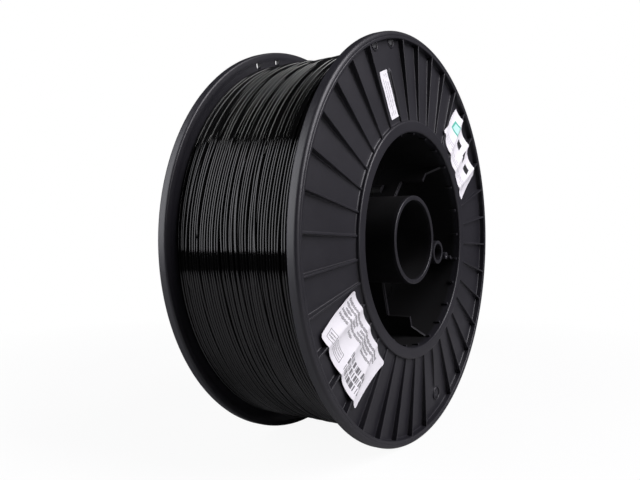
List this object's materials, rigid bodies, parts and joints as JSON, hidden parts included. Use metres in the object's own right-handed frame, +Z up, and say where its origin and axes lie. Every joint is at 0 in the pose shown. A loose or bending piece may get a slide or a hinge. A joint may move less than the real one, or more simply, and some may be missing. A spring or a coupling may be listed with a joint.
{
  "type": "filament spool",
  "caption": "Large two-flange plastic spool wound with round filament, with a through bore, ribbed conical flanges and an open hub.",
  "frame": {"origin": "centre of the spool, on the bore axis at the mid-plane between the flanges", "axes": "+Y along the bore axis, from the labelled front flange (facing -Y) to the rear flange; +Z up with the spool standing on its rims; +X to the right seen from the front"},
  "size_m": [0.27, 0.1048, 0.27],
  "materials": {
    "spool_plastic": "satin, moulded",
    "filament": "glossy, extruded",
    "label_paper": "matt, coated"
  },
  "bodies": {
    "root": {"front_half": "spool_plastic", "rear_half": "spool_plastic", "filament_inner_layers": "filament", "filament_outer_turns": "filament", "front_label": "label_paper", "data_label": "label_paper", "strip_label": "label_paper"}
  },
  "joints": []
}
